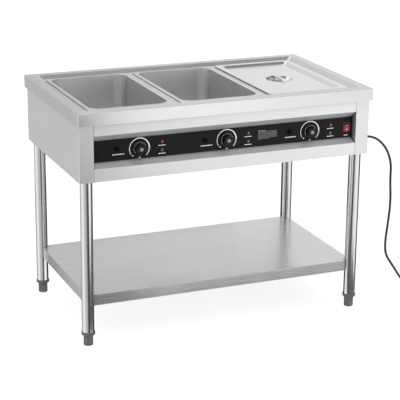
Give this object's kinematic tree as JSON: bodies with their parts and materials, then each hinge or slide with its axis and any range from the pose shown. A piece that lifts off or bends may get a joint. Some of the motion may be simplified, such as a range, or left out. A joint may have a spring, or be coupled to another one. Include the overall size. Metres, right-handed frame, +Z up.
{
  "type": "steam table unit",
  "caption": "Stainless steel electric steam table on four round legs, with sunken food pans over water wells, a dished lid, a recessed dial panel and an undershelf.",
  "frame": {"origin": "on the floor, under the middle of the worktop", "axes": "+X towards the right end as the operator faces the dials, +Y towards the back, +Z up"},
  "size_m": [1.5695, 0.67, 0.875],
  "materials": {
    "stainless_brushed": "fine straight brushing",
    "stainless_shelf": "long-grain brushing",
    "stainless_polished": "polished tube",
    "stainless_drawn": "satin, deep drawn",
    "fascia_black": "printed film, satin",
    "black_plastic": "moulded, fine texture",
    "cap_grey": "silver-grey insert",
    "red_lens": "clear red lens",
    "green_lens": "clear green lens",
    "red_plastic": "translucent red rocker",
    "foot_grey": "moulded nylon",
    "element_sheath": "heat-dulled sheath",
    "zinc_steel": "zinc plated",
    "valve_brass": "machined brass",
    "phenolic": "phenolic body",
    "terminal_white": "ceramic-filled block",
    "wire_sleeve": "braided sleeve",
    "cord_rubber": "smooth rubber jacket",
    "lever_red": "vinyl-dipped lever"
  },
  "bodies": {
    "cabinet": {"back_panel": "stainless_brushed", "bottom_panel": "stainless_brushed", "control_fascia": "fascia_black", "cord_coil": "cord_rubber", "cord_gland": "black_plastic", "drain_pipes": "stainless_drawn", "drain_valves": "valve_brass", "front_panel": "stainless_brushed", "heating_element_centre": "element_sheath", "heating_element_left": "element_sheath", "heating_element_right": "element_sheath", "heating_lamps": "red_lens", "leg_back_left": "stainless_polished", "leg_back_right": "stainless_polished", "leg_front_left": "stainless_polished", "leg_front_right": "stainless_polished", "leg_inserts": "foot_grey", "leg_sockets": "zinc_steel", "overheat_cutouts": "phenolic", "power_cord": "cord_rubber", "power_lamps": "green_lens", "power_plug": "cord_rubber", "screws": "zinc_steel", "shelf_brackets": "zinc_steel", "side_panel_left": "stainless_brushed", "side_panel_right": "stainless_brushed", "switch_housing": "black_plastic", "terminal_block": "terminal_white", "thermostats": "phenolic", "undershelf": "stainless_shelf", "well_centre": "stainless_drawn", "well_left": "stainless_drawn", "well_right": "stainless_drawn", "wiring_loom": "wire_sleeve", "worktop": "stainless_brushed"},
    "dial_left": {"knob_left": "black_plastic", "knob_cap_left": "cap_grey", "knob_spindle_left": "zinc_steel"},
    "dial_centre": {"knob_centre": "black_plastic", "knob_cap_centre": "cap_grey", "knob_spindle_centre": "zinc_steel"},
    "dial_right": {"knob_right": "black_plastic", "knob_cap_right": "cap_grey", "knob_spindle_right": "zinc_steel"},
    "reset_left": {"reset_button_left": "black_plastic"},
    "reset_centre": {"reset_button_centre": "black_plastic"},
    "reset_right": {"reset_button_right": "black_plastic"},
    "rocker": {"switch_rocker": "red_plastic"},
    "pan_left": {"pan_left": "stainless_drawn"},
    "pan_centre": {"pan_centre": "stainless_drawn"},
    "pan_right": {"pan_right": "stainless_drawn"},
    "lid": {"lid": "stainless_drawn", "lid_handle": "stainless_drawn"},
    "drain_lever_left": {"drain_lever_left": "lever_red"},
    "drain_lever_centre": {"drain_lever_centre": "lever_red"},
    "drain_lever_right": {"drain_lever_right": "lever_red"},
    "foot_front_left": {"foot_front_left": "foot_grey"},
    "foot_front_right": {"foot_front_right": "foot_grey"},
    "foot_back_left": {"foot_back_left": "foot_grey"},
    "foot_back_right": {"foot_back_right": "foot_grey"}
  },
  "joints": [
    {"name": "dial_left_turn", "type": "hinge", "parent": "cabinet", "child": "dial_left", "pos_m": [-0.3345, -0.292, 0.722], "axis": [0, 1, 0], "range_deg": [0, 270]},
    {"name": "dial_centre_turn", "type": "hinge", "parent": "cabinet", "child": "dial_centre", "pos_m": [0.002, -0.292, 0.722], "axis": [0, 1, 0], "range_deg": [0, 270]},
    {"name": "dial_right_turn", "type": "hinge", "parent": "cabinet", "child": "dial_right", "pos_m": [0.3385, -0.292, 0.722], "axis": [0, 1, 0], "range_deg": [0, 270]},
    {"name": "reset_left_press", "type": "slide", "parent": "cabinet", "child": "reset_left", "axis": [0, 1, 0], "range_m": [0, 0.003], "stiffness_N_per_m": 300, "springref_m": -0.002},
    {"name": "reset_centre_press", "type": "slide", "parent": "cabinet", "child": "reset_centre", "axis": [0, 1, 0], "range_m": [0, 0.003], "stiffness_N_per_m": 300, "springref_m": -0.002},
    {"name": "reset_right_press", "type": "slide", "parent": "cabinet", "child": "reset_right", "axis": [0, 1, 0], "range_m": [0, 0.003], "stiffness_N_per_m": 300, "springref_m": -0.002},
    {"name": "power_switch_rock", "type": "hinge", "parent": "cabinet", "child": "rocker", "pos_m": [0.4905, -0.2883, 0.725], "axis": [1, 0, 0], "range_deg": [-18, 0]},
    {"name": "pan_left_lift", "type": "slide", "parent": "cabinet", "child": "pan_left", "axis": [0, 0, 1], "range_m": [0, 0.2]},
    {"name": "pan_centre_lift", "type": "slide", "parent": "cabinet", "child": "pan_centre", "axis": [0, 0, 1], "range_m": [0, 0.2]},
    {"name": "pan_right_lift", "type": "slide", "parent": "cabinet", "child": "pan_right", "axis": [0, 0, 1], "range_m": [0, 0.2]},
    {"name": "lid_lift", "type": "slide", "parent": "pan_right", "child": "lid", "axis": [0, 0, 1], "range_m": [0, 0.15]},
    {"name": "drain_left_turn", "type": "hinge", "parent": "cabinet", "child": "drain_lever_left", "pos_m": [-0.35, 0.003, 0.59], "axis": [0, 1, 0], "range_deg": [0, 90]},
    {"name": "drain_centre_turn", "type": "hinge", "parent": "cabinet", "child": "drain_lever_centre", "pos_m": [0, 0.003, 0.59], "axis": [0, 1, 0], "range_deg": [0, 90]},
    {"name": "drain_right_turn", "type": "hinge", "parent": "cabinet", "child": "drain_lever_right", "pos_m": [0.35, 0.003, 0.59], "axis": [0, 1, 0], "range_deg": [0, 90]},
    {"name": "foot_front_left_adjust", "type": "slide", "parent": "cabinet", "child": "foot_front_left", "axis": [0, 0, -1], "range_m": [0, 0.02]},
    {"name": "foot_front_right_adjust", "type": "slide", "parent": "cabinet", "child": "foot_front_right", "axis": [0, 0, -1], "range_m": [0, 0.02]},
    {"name": "foot_back_left_adjust", "type": "slide", "parent": "cabinet", "child": "foot_back_left", "axis": [0, 0, -1], "range_m": [0, 0.02]},
    {"name": "foot_back_right_adjust", "type": "slide", "parent": "cabinet", "child": "foot_back_right", "axis": [0, 0, -1], "range_m": [0, 0.02]}
  ]
}
